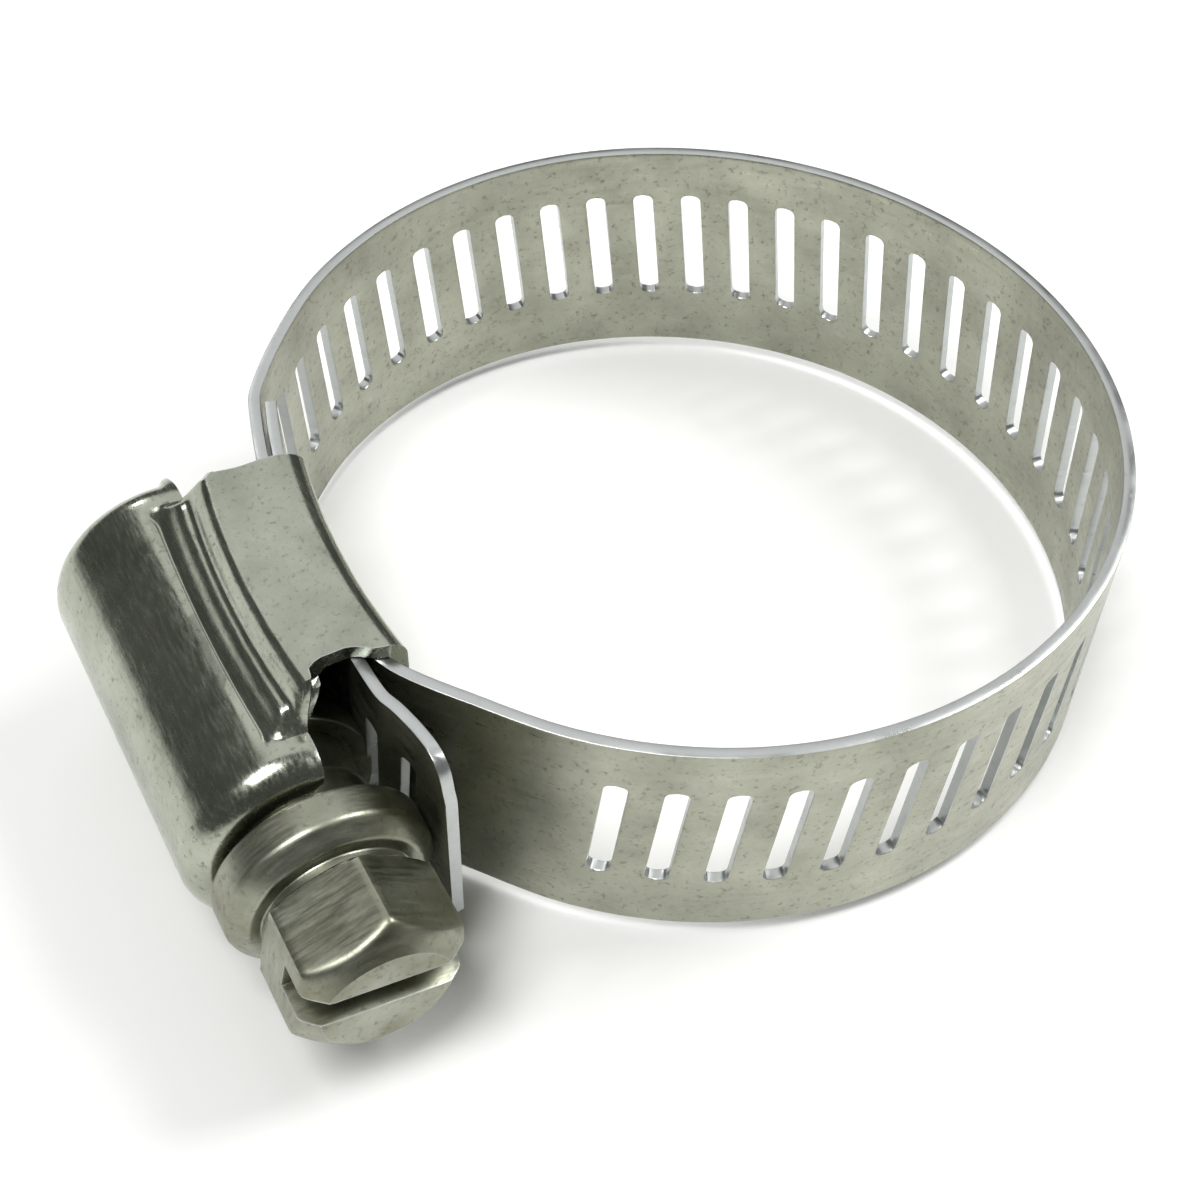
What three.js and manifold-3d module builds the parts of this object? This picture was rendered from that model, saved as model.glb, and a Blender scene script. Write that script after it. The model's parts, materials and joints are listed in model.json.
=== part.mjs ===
// Worm-drive hose clamp: a slotted steel band, a one-piece housing and a worm screw.
// Millimetres. +Z is the hose's axis, +Y the screw's axis from head to tip, and the housing lies on -X.
// The band bends in use, so it is drawn as a chain of rigid arcs, each pivoting on the one before it.
import * as THREE from "three";
import { mergeVertices } from "three/addons/utils/BufferGeometryUtils.js";
import Module from "manifold-3d";

// Band
const BAND_WIDTH = 14.3;
const BAND_THICKNESS = 0.6;
const BAND_GAP = 0.2; // between two links, and between two layers of band
const RING_LONG_RADIUS = 22.05; // middle of the band, along the ring's long axis
const RING_SHORT_RADIUS = 20.85;
const RING_TURN = -45; // degrees from +X to the ring's long axis

// Slots and thread, which share one pitch
const PITCH = 2.822; // 9 slots to the inch
const SLOT_LENGTH = 7.45;
const SLOT_WIDTH = 1.15;
const SLOT_CORNER = 0.35;
const SLOT_HEIGHT = 0.4; // slot middle above the band's middle
const RING_START = -146; // degrees, where the oval takes over from the housing's arc
const RING_FINISH = 136;
const FIRST_SLOT_ANGLE = -129.5; // degrees from +X, the slot next to the plain stretch
const SLOTS_ON_FIRST_LINK = 2;
const SLOTS_PER_LINK = 3;
const NOSE_LENGTH = 1.5; // at least this much plain metal after the tail's last slot

// Saddle: the gentle arc that both layers of band follow through the housing
const SADDLE_RADIUS = 40; // middle of the tail layer
const SADDLE_MIDDLE = -2; // along Y
const SADDLE_FROM_RING = 0.1152; // the tail layer's middle stands this far outside the ring's oval
const TAIL_START = 10.3; // along Y, about where the ring's last slot is
const TAIL_END = -14.2;
const TAIL_END_WIDTH = 9.6;
const TAPER_LENGTH = 5;
const FIXED_END = 10.97; // along Y, where the inner layer stops
const FIXED_KINK = -7.5; // along Y, where the inner layer turns into the ring
const TONGUE_ROOT = 6.3; // along Y, where the inner layer leaves the housing and is free to spring

// Screw
const THREAD_CREST = 4.65;
const THREAD_HEIGHT = 0.95;
const THREAD_CREST_WIDTH = 0.6;
const THREAD_FLANK = 20; // degrees
const THREAD_START = -8.6;
const THREAD_END = 7.485;
const THREAD_IN_BAND = 0.15; // how far the crest reaches past the tail layer's middle
const NECK_UNDER_ROOT = 0.1;
const PILOT_UNDER_ROOT = 0.7;
const PILOT_END = 9.6;
const COLLAR_OVER_CREST = 0.55;
const COLLAR_BACK = -11.3;
const COLLAR_LENGTH = 2.6;
const COLLAR_BEVEL = 0.8;
const GROOVE_LENGTH = 0.6;
const HEX_FLATS = 7.94;
const HEX_LENGTH = 5.0;
const HEX_TURN = 18; // degrees
const HEX_CHAMFER = 0.7;
const DRIVER_SLOT_WIDTH = 1.6;
const DRIVER_SLOT_DEPTH = 2.6;
const DRIVER_SLOT_TURN = 10; // degrees
const DRIVER_SLOT_OFFSET = 0.5;

// Housing
const SHEET = 0.8;
const BARREL_CLEARANCE = 0.45; // thread crest to the barrel's wall
const BARREL_HEAD_END = -10.7; // along Y
const BARREL_TIP_END = 9.4;
const BARREL_NECK = 1.6; // how far each end draws in
const SHOULDER_FROM_AXIS = 1.25; // barrel opening, from the screw's axis towards the ring
const LEG_HEAD_END = -7.0; // along Y
const LEG_TIP_END = 6.0;
const LEG_CLEARANCE = 0.1; // each side of the band's edges
const LEG_BEND = 1.1; // outer radius where the leg turns under the band
const SHOULDER_RISE = 1.6; // X distance over which the shoulder climbs from barrel to leg
const SADDLE_CLEARANCE = 0.12; // inner band layer to the sheet under it
const NECK_CLEARANCE = 0.3; // screw to the holes in the barrel's ends

const ROUND_SIDES = 36; // facets round a turned piece

// Sizes that follow from the ones above
const THREAD_ROOT = THREAD_CREST - THREAD_HEIGHT;
const THREAD_TURNS = (THREAD_END - THREAD_START) / PITCH;
const NECK_RADIUS = THREAD_ROOT - NECK_UNDER_ROOT;
const PILOT_RADIUS = THREAD_ROOT - PILOT_UNDER_ROOT;
const COLLAR_RADIUS = THREAD_CREST + COLLAR_OVER_CREST;
const GROOVE_RADIUS = THREAD_ROOT;
const BARREL_RADIUS = THREAD_CREST + BARREL_CLEARANCE + SHEET; // outside
const TAIL_FROM_AXIS = THREAD_CREST - THREAD_IN_BAND; // screw axis to the middle of the tail layer

const wasm = await Module();
wasm.setup();

const steel = (color, roughness) => new THREE.MeshStandardMaterial({ color, roughness, metalness: 1 });
const bandSteel = steel(0x9a9c8c, 0.38);
const housingSteel = steel(0x8d9289, 0.32);
const screwSteel = steel(0x85877a, 0.35);
const radians = THREE.MathUtils.degToRad;

// ---- solids ----

// A geometry as a manifold solid, with its shared vertices joined.
function solid(geometry) {
  const bare = geometry.clone();
  bare.deleteAttribute("normal");
  bare.deleteAttribute("uv");
  const merged = mergeVertices(bare, 1e-4);
  const mesh = new wasm.Mesh({
    numProp: 3,
    vertProperties: merged.attributes.position.array,
    triVerts: new Uint32Array(merged.index.array),
  });
  return new wasm.Manifold(mesh);
}

// A manifold solid as a geometry with flat-shaded faces.
function geometryOf(body) {
  const mesh = body.getMesh();
  const geometry = new THREE.BufferGeometry();
  geometry.setAttribute("position", new THREE.BufferAttribute(mesh.vertProperties, 3));
  geometry.setIndex(new THREE.BufferAttribute(mesh.triVerts, 1));
  const faces = geometry.toNonIndexed();
  faces.computeVertexNormals();
  return faces;
}

function namedMesh(name, geometry, material) {
  const mesh = new THREE.Mesh(geometry, material);
  mesh.name = name;
  return mesh;
}

// ---- routes of the band's middle surface, measured counter-clockwise ----

const SCREW_AXIS = ringPoint(180).x - SADDLE_FROM_RING - TAIL_FROM_AXIS; // along X
const saddleCentre = new THREE.Vector2(SCREW_AXIS + TAIL_FROM_AXIS + SADDLE_RADIUS, SADDLE_MIDDLE);

// A point on an arc about the saddle's centre, at a given Y.
function saddlePoint(radius, y) {
  const rise = y - saddleCentre.y;
  return new THREE.Vector3(saddleCentre.x - Math.sqrt(radius * radius - rise * rise), y, 0);
}

// A point on the oval ring, at an angle in degrees from +X.
function ringPoint(angle) {
  const turned = radians(angle - RING_TURN);
  const long = Math.cos(turned) / RING_LONG_RADIUS;
  const short = Math.sin(turned) / RING_SHORT_RADIUS;
  const radius = 1 / Math.hypot(long, short);
  return new THREE.Vector3(radius * Math.cos(radians(angle)), radius * Math.sin(radians(angle)), 0);
}

// A smooth route through points, with its length measured finely.
function routeThrough(points) {
  const curve = new THREE.CatmullRomCurve3(points, false, "centripetal");
  curve.arcLengthDivisions = 4000;
  const length = curve.getLength();
  return {
    length,
    // Middle of the band at a distance along the route, with its direction.
    at(distance) {
      const share = THREE.MathUtils.clamp(distance / length, 0, 1);
      return { point: curve.getPointAt(share), along: curve.getTangentAt(share) };
    },
    // Distance at which a test of the point turns from negative to positive, found by halving.
    find(test, low, high) {
      let [before, after] = [low * length, high * length];
      for (let i = 0; i < 40; i++) {
        const middle = (before + after) / 2;
        if (test(this.at(middle).point) < 0) before = middle;
        else after = middle;
      }
      return before;
    },
  };
}

const fixedRadius = SADDLE_RADIUS - BAND_THICKNESS - BAND_GAP;
const ringAngles = [];
for (let angle = RING_START; angle <= RING_FINISH; angle += 12) ringAngles.push(angle);
const ringRoute = routeThrough([
  ...[FIXED_END, 8, 5, 2, -1, -4, FIXED_KINK + 0.3].map((y) => saddlePoint(fixedRadius, y)),
  ...ringAngles.map(ringPoint),
  ...[11, 8, 5].map((y) => saddlePoint(SADDLE_RADIUS, y)),
]);
const angleOf = (point) => THREE.MathUtils.radToDeg(Math.atan2(point.y, point.x));
const kink = ringRoute.find((point) => FIXED_KINK - point.y, 0, 0.2);
const firstSlot = ringRoute.find((point) => angleOf(point) - FIRST_SLOT_ANGLE, 0.17, 0.3);
const tongueRoot = ringRoute.find((point) => TONGUE_ROOT - point.y, 0, 0.2);
const tailStartsAbout = ringRoute.find((point) => TAIL_START - point.y, 0.7, 1);
const pitchesRound = (tailStartsAbout - firstSlot) / PITCH + 0.5;
const fullLinks = Math.round((pitchesRound - SLOTS_ON_FIRST_LINK) / SLOTS_PER_LINK);
const ringSlots = SLOTS_ON_FIRST_LINK + fullLinks * SLOTS_PER_LINK;
const ringEnd = firstSlot + (ringSlots - 0.5) * PITCH;

// The tail carries on from the ring's end along the saddle's arc.
const tailStart = ringRoute.at(ringEnd).point;
const tailStartAngle = Math.atan2(tailStart.y - saddleCentre.y, tailStart.x - saddleCentre.x);
const tailRoute = {
  at(distance) {
    const angle = tailStartAngle + distance / SADDLE_RADIUS;
    const [x, y] = [Math.cos(angle), Math.sin(angle)];
    const point = new THREE.Vector3(x, y, 0).multiplyScalar(SADDLE_RADIUS);
    point.x += saddleCentre.x;
    point.y += saddleCentre.y;
    return { point, along: new THREE.Vector3(-y, x, 0) };
  },
};
const tailEndAngle = Math.PI - Math.asin((TAIL_END - saddleCentre.y) / SADDLE_RADIUS);
const tailLength = (tailEndAngle - tailStartAngle) * SADDLE_RADIUS;
const tailSlots = Math.floor((tailLength - NOSE_LENGTH) / PITCH);

// ---- band ----

const slotSlant = PITCH / (2 * Math.PI * TAIL_FROM_AXIS); // the thread's own slope where it meets the band

// A slot's outline, laid flat: a rounded rectangle that leans with the thread.
function slotOutline() {
  const [halfWidth, halfLength] = [SLOT_WIDTH / 2 - SLOT_CORNER, SLOT_LENGTH / 2 - SLOT_CORNER];
  const outline = new THREE.Path();
  outline.absarc(halfWidth, halfLength, SLOT_CORNER, 0, Math.PI / 2);
  outline.absarc(-halfWidth, halfLength, SLOT_CORNER, Math.PI / 2, Math.PI);
  outline.absarc(-halfWidth, -halfLength, SLOT_CORNER, Math.PI, 1.5 * Math.PI);
  outline.absarc(halfWidth, -halfLength, SLOT_CORNER, 1.5 * Math.PI, 2 * Math.PI);
  const points = outline.getPoints(2);
  points.pop();
  return new THREE.Shape(points.map((p) => new THREE.Vector2(p.x + p.y * slotSlant, p.y + SLOT_HEIGHT)));
}

// A flat outline made into a cutter that stands across the band at a point of its route.
function bandCutter(outline, { point, along }) {
  const depth = 6 * BAND_THICKNESS;
  const cutter = new THREE.ExtrudeGeometry(outline, { depth, bevelEnabled: false, curveSegments: 6 });
  cutter.translate(0, 0, -depth / 2);
  const outward = new THREE.Vector3(along.y, -along.x, 0);
  const placed = new THREE.Matrix4().makeBasis(along, new THREE.Vector3(0, 0, 1), outward);
  cutter.applyMatrix4(placed.setPosition(point));
  return solid(cutter);
}

// A stretch of band between two distances on its route, without its slots.
function plainBand(route, from, to) {
  const steps = Math.ceil((to - from) / (PITCH / 2));
  const side = (outward) =>
    Array.from({ length: steps + 1 }, (_, i) => {
      const { point, along } = route.at(from + ((to - from) * i) / steps);
      return new THREE.Vector2(point.x + along.y * outward, point.y - along.x * outward);
    });
  const plan = new THREE.Shape([...side(BAND_THICKNESS / 2), ...side(-BAND_THICKNESS / 2).reverse()]);
  const geometry = new THREE.ExtrudeGeometry(plan, { depth: BAND_WIDTH, bevelEnabled: false });
  geometry.translate(0, 0, -BAND_WIDTH / 2);
  return solid(geometry);
}

// The same stretch with a slot at every pitch, starting from the first one's middle.
function slottedBand(route, from, to, first, count) {
  let stretch = plainBand(route, from, to);
  for (let i = 0; i < count; i++) {
    stretch = stretch.subtract(bandCutter(slotOutline(), route.at(first + i * PITCH)));
  }
  return stretch;
}

// The inner layer: held by the housing, with a tongue that springs in as the ring slides over it.
const heldStretch = plainBand(ringRoute, tongueRoot + BAND_GAP / 2, kink - BAND_GAP / 2);
const fixedEnd = namedMesh("band_fixed_end", geometryOf(heldStretch), bandSteel);
const tongueMesh = namedMesh("band_tongue", geometryOf(plainBand(ringRoute, 0, tongueRoot - BAND_GAP / 2)), bandSteel);
const tongue = new THREE.Group();
tongue.position.copy(ringRoute.at(tongueRoot).point);
tongueMesh.position.copy(tongue.position).negate();
tongue.add(tongueMesh);

// The ring: each link pivots on the one before it, at solid metal between two slots.
const linkEnds = [kink, firstSlot + (SLOTS_ON_FIRST_LINK - 0.5) * PITCH];
for (let i = 0; i < fullLinks; i++) linkEnds.push(linkEnds.at(-1) + SLOTS_PER_LINK * PITCH);
const ring = new THREE.Group();
let parent = ring;
let parentPivot = new THREE.Vector3();
for (let i = 1; i < linkEnds.length; i++) {
  const [from, to] = [linkEnds[i - 1], linkEnds[i]];
  const pivot = ringRoute.at(from).point;
  const link = new THREE.Group();
  link.position.copy(pivot).sub(parentPivot);
  parent.add(link);
  const count = i === 1 ? SLOTS_ON_FIRST_LINK : SLOTS_PER_LINK;
  const first = to - (count - 0.5) * PITCH;
  const stretch = slottedBand(ringRoute, from + BAND_GAP / 2, to - BAND_GAP / 2, first, count);
  const mesh = namedMesh("band_link_" + String(i).padStart(2, "0"), geometryOf(stretch), bandSteel);
  mesh.position.copy(pivot).negate();
  link.add(mesh);
  [parent, parentPivot] = [link, pivot];
}

// The tail: meshed with the thread, its end tapered so that it threads into the housing.
function taperCutter(side) {
  const [edge, tip] = [(side * BAND_WIDTH) / 2, (side * TAIL_END_WIDTH) / 2];
  const corner = new THREE.Shape();
  corner.moveTo(1, tip);
  corner.lineTo(0, tip);
  corner.quadraticCurveTo(-TAPER_LENGTH * 0.4, edge, -TAPER_LENGTH, edge);
  corner.lineTo(-TAPER_LENGTH, edge + side);
  corner.lineTo(1, edge + side);
  return bandCutter(corner, tailRoute.at(tailLength));
}
const tailBand = slottedBand(tailRoute, BAND_GAP / 2, tailLength, PITCH / 2, tailSlots)
  .subtract(taperCutter(1))
  .subtract(taperCutter(-1));
const tail = namedMesh("band_tail", geometryOf(tailBand), bandSteel);

// ---- screw ----

// The slot nearest to the saddle's middle fixes where the thread crosses the band.
const middleDistance = (Math.PI - tailStartAngle) * SADDLE_RADIUS;
const meshedSlot = Math.round(middleDistance / PITCH - 0.5);
const meshedPoint = tailRoute.at((meshedSlot + 0.5) * PITCH - slotSlant * SLOT_HEIGHT).point;

// A right-hand thread about Y, drawn as a trapezoid swept along a helix, fading out at both ends.
function threadGeometry() {
  const stepsPerTurn = 20;
  const steps = Math.round(THREAD_TURNS * stepsPerTurn);
  const fade = stepsPerTurn / 3;
  const startAngle = Math.PI / 2 - ((meshedPoint.y - THREAD_START) / PITCH) * 2 * Math.PI;
  const sunk = 0.4; // how deep the thread's foot sits in the core
  const footWidth = (radius) => THREAD_CREST_WIDTH + 2 * (THREAD_CREST - radius) * Math.tan(radians(THREAD_FLANK));
  const positions = [];
  const index = [];
  for (let i = 0; i <= steps; i++) {
    const angle = startAngle + (i / stepsPerTurn) * 2 * Math.PI;
    const middle = THREAD_START + (i / stepsPerTurn) * PITCH;
    const grown = Math.min(1, i / fade, (steps - i) / fade);
    const crest = THREAD_ROOT + (THREAD_CREST - THREAD_ROOT) * Math.max(grown, 0.02);
    const foot = THREAD_ROOT - sunk;
    const section = [
      [foot, -footWidth(foot) / 2],
      [foot, footWidth(foot) / 2],
      [crest, THREAD_CREST_WIDTH / 2],
      [crest, -THREAD_CREST_WIDTH / 2],
    ];
    for (const [radius, offset] of section) {
      positions.push(radius * Math.sin(angle), middle + offset, radius * Math.cos(angle));
    }
  }
  for (let i = 0; i < steps; i++) {
    for (let k = 0; k < 4; k++) {
      const [a, b] = [i * 4 + k, i * 4 + ((k + 1) % 4)];
      index.push(a, b, a + 4, b, b + 4, a + 4);
    }
  }
  const last = steps * 4;
  index.push(0, 2, 1, 0, 3, 2);
  index.push(last, last + 1, last + 2, last, last + 2, last + 3);
  const geometry = new THREE.BufferGeometry();
  geometry.setAttribute("position", new THREE.Float32BufferAttribute(positions, 3));
  geometry.setIndex(index);
  return geometry;
}

// The screw's turned body without thread and hexagon, from its tip to the hexagon's foot.
const collarFront = COLLAR_BACK - COLLAR_LENGTH;
const hexBack = collarFront - GROOVE_LENGTH;
const hexFront = hexBack - HEX_LENGTH;
const threadEnd = THREAD_START + THREAD_TURNS * PITCH;
const screwProfile = [
  [0, hexBack - HEX_LENGTH / 2],
  [GROOVE_RADIUS, hexBack - HEX_LENGTH / 2],
  [GROOVE_RADIUS, collarFront],
  [COLLAR_RADIUS - COLLAR_BEVEL, collarFront],
  [COLLAR_RADIUS, collarFront + COLLAR_BEVEL],
  [COLLAR_RADIUS, COLLAR_BACK],
  [NECK_RADIUS, COLLAR_BACK],
  [NECK_RADIUS, THREAD_START - SHEET / 2],
  [THREAD_ROOT, THREAD_START - SHEET / 2],
  [THREAD_ROOT, threadEnd],
  [PILOT_RADIUS, threadEnd + SHEET / 2],
  [PILOT_RADIUS, PILOT_END - PILOT_RADIUS / 8],
  [PILOT_RADIUS * 0.875, PILOT_END],
  [0, PILOT_END],
].map(([radius, y]) => new THREE.Vector2(radius, y));
const turned = solid(new THREE.LatheGeometry(screwProfile, ROUND_SIDES));

// The hexagon, its outer end rounded off by a cone.
const hexCorner = HEX_FLATS / Math.sqrt(3);
const hexBlank = new THREE.CylinderGeometry(hexCorner, hexCorner, HEX_LENGTH, 6);
hexBlank.rotateY(radians(90 - HEX_TURN));
hexBlank.translate(0, (hexBack + hexFront) / 2, 0);
const hexRound = new THREE.LatheGeometry(
  [
    [0, hexFront],
    [HEX_FLATS / 2 - HEX_CHAMFER, hexFront],
    [hexCorner + 0.1, hexFront + HEX_CHAMFER * 1.4],
    [hexCorner + 0.1, hexBack + 0.1],
    [0, hexBack + 0.1],
  ].map(([radius, y]) => new THREE.Vector2(radius, y)),
  ROUND_SIDES,
);
const driverSlot = new THREE.BoxGeometry(4 * HEX_FLATS, DRIVER_SLOT_DEPTH, DRIVER_SLOT_WIDTH);
driverSlot.translate(0, hexFront + DRIVER_SLOT_DEPTH / 2 - 0.01, DRIVER_SLOT_OFFSET);
driverSlot.rotateY(radians(DRIVER_SLOT_TURN));
const screwBody = turned
  .add(solid(hexBlank).intersect(solid(hexRound)))
  .add(solid(threadGeometry()))
  .subtract(solid(driverSlot));
const screw = namedMesh("worm_screw", geometryOf(screwBody), screwSteel);
screw.position.x = SCREW_AXIS;

// ---- housing ----

// The barrel: a tube of sheet about the screw, drawn in round at both ends.
function barrelProfile(headHole, tipHole) {
  const turn = BARREL_RADIUS - BARREL_NECK;
  const arc = (y, radius, from, to) =>
    Array.from({ length: 5 }, (_, i) => {
      const angle = from + ((to - from) * i) / 4;
      return [turn + radius * Math.cos(angle), y + radius * Math.sin(angle)];
    });
  const [head, tip] = [BARREL_HEAD_END + BARREL_NECK, BARREL_TIP_END - BARREL_NECK];
  const inner = BARREL_NECK - SHEET;
  return [
    [headHole, BARREL_HEAD_END],
    ...arc(head, BARREL_NECK, -Math.PI / 2, 0),
    ...arc(tip, BARREL_NECK, 0, Math.PI / 2),
    [tipHole, BARREL_TIP_END],
    [tipHole, BARREL_TIP_END - SHEET],
    ...arc(tip, inner, Math.PI / 2, 0),
    ...arc(head, inner, 0, -Math.PI / 2),
    [headHole, BARREL_HEAD_END + SHEET],
    [headHole, BARREL_HEAD_END],
  ].map(([radius, y]) => new THREE.Vector2(radius, y));
}
const barrel = new THREE.LatheGeometry(barrelProfile(NECK_RADIUS + NECK_CLEARANCE, PILOT_RADIUS + NECK_CLEARANCE), ROUND_SIDES);
barrel.translate(SCREW_AXIS, 0, 0);
const shoulder = SCREW_AXIS + SHOULDER_FROM_AXIS;
const opening = new THREE.BoxGeometry(4 * BARREL_RADIUS, 4 * BARREL_RADIUS, 4 * BARREL_RADIUS);
opening.translate(shoulder + 2 * BARREL_RADIUS, 0, 0);

// The legs and the wrap under the band: one loop of sheet, seen along Y, that follows the saddle's arc.
const legOutside = BAND_WIDTH / 2 + LEG_CLEARANCE + SHEET;
const wrapInside = saddleCentre.x - fixedRadius + BAND_THICKNESS / 2 + SADDLE_CLEARANCE;
const lap = 0.3; // the loop starts inside the barrel's wall
const heightOn = (radius) => Math.sqrt(radius * radius - (SHOULDER_FROM_AXIS - lap) ** 2);
function loopOutline(barrelHeight, legHeight, shoulderX, wrapX, bend) {
  const corner = new THREE.Vector2(wrapX - bend, legHeight - bend);
  const half = [
    [shoulder - lap, barrelHeight],
    [shoulderX, legHeight],
  ];
  for (let i = 0; i <= 4; i++) {
    const angle = (Math.PI / 2) * (1 - i / 4);
    half.push([corner.x + bend * Math.cos(angle), corner.y + bend * Math.sin(angle)]);
  }
  const upper = half.map(([x, z]) => new THREE.Vector2(x, z));
  const lower = half.map(([x, z]) => new THREE.Vector2(x, -z)).reverse();
  return [...upper, ...lower];
}
const outerLoop = loopOutline(
  heightOn(BARREL_RADIUS),
  legOutside,
  shoulder + SHOULDER_RISE,
  wrapInside + SHEET,
  LEG_BEND,
);
const innerLoop = loopOutline(
  heightOn(BARREL_RADIUS - SHEET),
  legOutside - SHEET,
  shoulder + SHOULDER_RISE + SHEET / 2,
  wrapInside,
  LEG_BEND - SHEET,
);
const loopShape = new THREE.Shape([...outerLoop, ...innerLoop.slice().reverse()]);
const loop = new THREE.ExtrudeGeometry(loopShape, {
  depth: LEG_TIP_END - LEG_HEAD_END,
  steps: 10,
  bevelEnabled: false,
});
loop.rotateX(Math.PI / 2);
loop.translate(0, LEG_TIP_END, 0);
const loopPosition = loop.getAttribute("position");
for (let i = 0; i < loopPosition.count; i++) {
  const [x, y] = [loopPosition.getX(i), loopPosition.getY(i)];
  const follows = x > shoulder + SHOULDER_RISE + SHEET;
  if (follows) loopPosition.setX(i, x + saddlePoint(fixedRadius, y).x - (saddleCentre.x - fixedRadius));
}
const housingBody = solid(barrel).subtract(solid(opening)).add(solid(loop));
const housing = namedMesh("housing", geometryOf(housingBody), housingSteel);

const clamp = new THREE.Group();
clamp.add(housing, fixedEnd, tongue, ring, tail, screw);
export default clamp;
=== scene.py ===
import json
import math

import bmesh
import bpy
import numpy as np
from mathutils import Matrix, Vector

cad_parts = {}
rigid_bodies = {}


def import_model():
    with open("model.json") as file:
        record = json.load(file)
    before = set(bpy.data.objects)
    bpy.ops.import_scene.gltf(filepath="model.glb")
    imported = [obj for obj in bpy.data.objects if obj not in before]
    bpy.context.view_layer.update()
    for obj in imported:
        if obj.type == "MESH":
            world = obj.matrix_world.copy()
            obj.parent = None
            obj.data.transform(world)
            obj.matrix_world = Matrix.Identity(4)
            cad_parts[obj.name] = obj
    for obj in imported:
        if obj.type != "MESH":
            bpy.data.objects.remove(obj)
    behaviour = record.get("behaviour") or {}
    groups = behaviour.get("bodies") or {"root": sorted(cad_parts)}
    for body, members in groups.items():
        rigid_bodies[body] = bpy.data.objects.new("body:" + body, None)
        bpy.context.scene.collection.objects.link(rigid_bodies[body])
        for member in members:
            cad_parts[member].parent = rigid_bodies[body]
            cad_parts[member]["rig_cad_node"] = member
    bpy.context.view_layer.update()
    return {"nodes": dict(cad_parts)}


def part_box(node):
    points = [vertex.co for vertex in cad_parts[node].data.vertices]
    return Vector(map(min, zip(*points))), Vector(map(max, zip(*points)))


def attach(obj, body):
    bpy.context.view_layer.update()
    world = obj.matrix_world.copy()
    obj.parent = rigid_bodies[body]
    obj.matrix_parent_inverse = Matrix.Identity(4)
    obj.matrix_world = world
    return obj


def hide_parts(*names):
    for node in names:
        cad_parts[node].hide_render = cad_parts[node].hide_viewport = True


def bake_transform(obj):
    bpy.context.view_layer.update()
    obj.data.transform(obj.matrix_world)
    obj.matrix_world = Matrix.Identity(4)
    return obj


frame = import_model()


# ---- Where it lies ----
# The clamp lies on one edge of its band and on the housing's side, on a plain white table, under large
# soft lamps. Sizes in this file are millimetres, turned to metres as each mesh, lamp or node is made.

MM = 0.001


def linear(hex_colour):
    """An sRGB hex colour as the linear RGBA that Blender works in."""
    shares = [int(hex_colour[i : i + 2], 16) / 255 for i in (0, 2, 4)]
    return [s / 12.92 if s <= 0.04045 else ((s + 0.055) / 1.055) ** 2.4 for s in shares] + [1.0]


def add_node(tree, kind, inputs=None, **settings):
    """Adds a node. settings are its own fields; inputs are its sockets' values, or sockets linked to them."""
    made = tree.nodes.new(kind)
    for field, value in settings.items():
        setattr(made, field, value)
    for socket, value in (inputs or {}).items():
        if isinstance(value, bpy.types.NodeSocket):
            tree.links.new(value, made.inputs[socket])
        else:
            made.inputs[socket].default_value = value
    return made


def new_object(name, mesh):
    made = bpy.data.objects.new(name, mesh)
    bpy.context.scene.collection.objects.link(made)
    return made


def mesh_from(name, points, faces):
    """A mesh from points in millimetres."""
    mesh = bpy.data.meshes.new(name)
    mesh.from_pydata([[c * MM for c in p] for p in points], [], [list(map(int, f)) for f in faces])
    mesh.validate()
    return mesh


EYE = Vector((-39.035, -60.134, 79.691))
EYE_FORWARD = Vector((0.31115, 0.54954, -0.77537)).normalized()
EYE_UP = Vector((0.35148, 0.69147, 0.63113)).normalized()

camera_data = bpy.data.cameras.new("camera")
camera_data.lens = 59.96
camera_data.sensor_width = 36
camera_data.clip_start, camera_data.clip_end = 0.005, 20
camera = bpy.data.objects.new("camera", camera_data)
bpy.context.scene.collection.objects.link(camera)
eye_right = EYE_FORWARD.cross(EYE_UP)
eye_axes = Matrix((eye_right, EYE_UP, -EYE_FORWARD)).transposed().to_4x4()
camera.matrix_world = Matrix.Translation(EYE * MM) @ eye_axes
bpy.context.scene.camera = camera

TABLE_HALF = 600
table_height = min(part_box(node)[0].z for node in frame["nodes"]) / MM - 0.02
table_signs = ((-1, -1), (1, -1), (1, 1), (-1, 1))
table_corners = [(x * TABLE_HALF, y * TABLE_HALF, table_height) for x, y in table_signs]
table = new_object("table", mesh_from("table", table_corners, [range(4)]))
white_laminate = bpy.data.materials.new("white_laminate")
white_laminate.use_nodes = True
table_surface = white_laminate.node_tree.nodes["Principled BSDF"].inputs
table_surface["Base Color"].default_value = linear("f6f6f4")
table_surface["Roughness"].default_value = 0.7
table.data.materials.append(white_laminate)

# Each lamp: name, where it hangs, the side of its square, watts.
LAMPS = (
    ("over_left", (-170, -70, 470), 200, 1.9),
    ("over_right", (330, -50, 400), 200, 1.6),
    ("wide_panel", (130, 400, 560), 560, 0.85),
    ("behind", (-60, 470, 330), 60, 0.16),
)
for name, place, side, watts in LAMPS:
    lamp_data = bpy.data.lights.new(name, "AREA")
    lamp_data.shape, lamp_data.size, lamp_data.energy = "SQUARE", side * MM, watts
    lamp = bpy.data.objects.new(name, lamp_data)
    bpy.context.scene.collection.objects.link(lamp)
    lamp.location = Vector(place) * MM
    lamp.rotation_euler = (-lamp.location).to_track_quat("-Z", "Y").to_euler()
room = bpy.data.worlds.new("room")
bpy.context.scene.world = room
room.use_nodes = True
room.node_tree.nodes["Background"].inputs["Color"].default_value = linear("c9ccc8")
room.node_tree.nodes["Background"].inputs["Strength"].default_value = 0.2
bpy.context.scene.view_settings.view_transform = "Standard"


# ---- Housing ----
# One blank of stainless sheet, rolled into a barrel over the screw. Two legs come off it over a rolled bead,
# run down the band's edges and wrap under it. The barrel's ends are drawn in over the screw by a press.

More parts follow.
